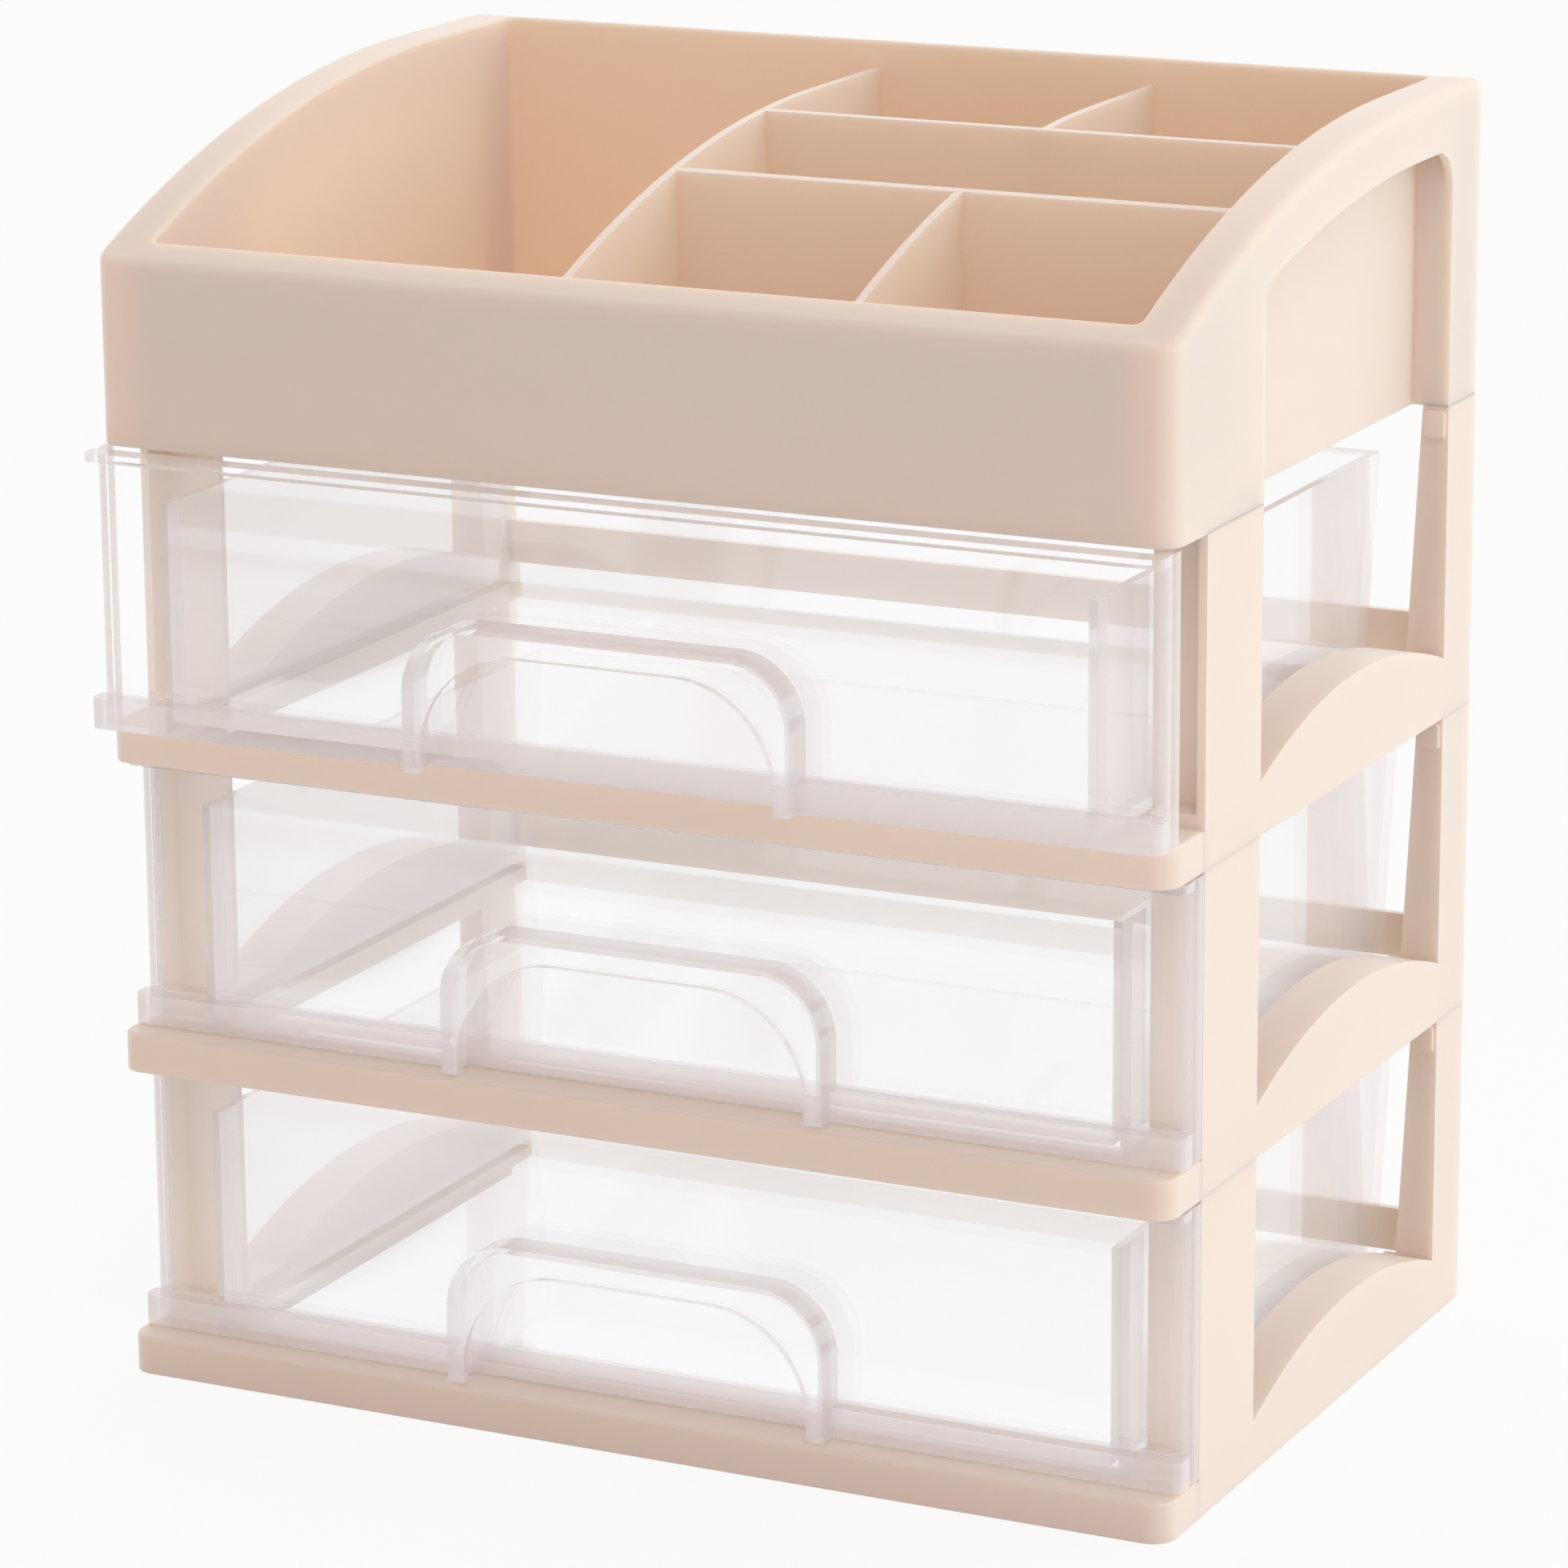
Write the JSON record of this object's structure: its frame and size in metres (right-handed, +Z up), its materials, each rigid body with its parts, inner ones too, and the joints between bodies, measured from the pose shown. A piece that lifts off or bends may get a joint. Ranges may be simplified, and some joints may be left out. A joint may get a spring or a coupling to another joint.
{
  "type": "cosmetic drawer organizer",
  "caption": "Free-standing cosmetic organizer: clear pull-out drawers with cup handles in open tier frames, under a divided tray with a curved rim.",
  "frame": {"origin": "on the table plane, under the middle of the bounding box with the top drawer slightly open", "axes": "+X to the right seen from the front, +Y to the back, +Z up"},
  "size_m": [0.26, 0.1896, 0.292],
  "materials": {
    "cream_plastic": "satin",
    "clear_plastic": "gloss"
  },
  "bodies": {
    "cabinet": {"top_tray": "cream_plastic", "tier_1_left_frame": "cream_plastic", "tier_1_right_frame": "cream_plastic", "tier_1_front_rail": "cream_plastic", "tier_1_rear_rail": "cream_plastic", "tier_2_left_frame": "cream_plastic", "tier_2_right_frame": "cream_plastic", "tier_2_front_rail": "cream_plastic", "tier_2_rear_rail": "cream_plastic", "tier_3_left_frame": "cream_plastic", "tier_3_right_frame": "cream_plastic", "tier_3_front_rail": "cream_plastic", "tier_3_rear_rail": "cream_plastic"},
    "drawer_1": {"drawer_1": "clear_plastic"},
    "drawer_2": {"drawer_2": "clear_plastic"},
    "drawer_3": {"drawer_3": "clear_plastic"}
  },
  "joints": [
    {"name": "drawer_1_slide", "type": "slide", "parent": "cabinet", "child": "drawer_1", "axis": [0, -1, 0], "range_m": [-0.014, 0.106]},
    {"name": "drawer_2_slide", "type": "slide", "parent": "cabinet", "child": "drawer_2", "axis": [0, -1, 0], "range_m": [0, 0.12]},
    {"name": "drawer_3_slide", "type": "slide", "parent": "cabinet", "child": "drawer_3", "axis": [0, -1, 0], "range_m": [0, 0.12]}
  ]
}
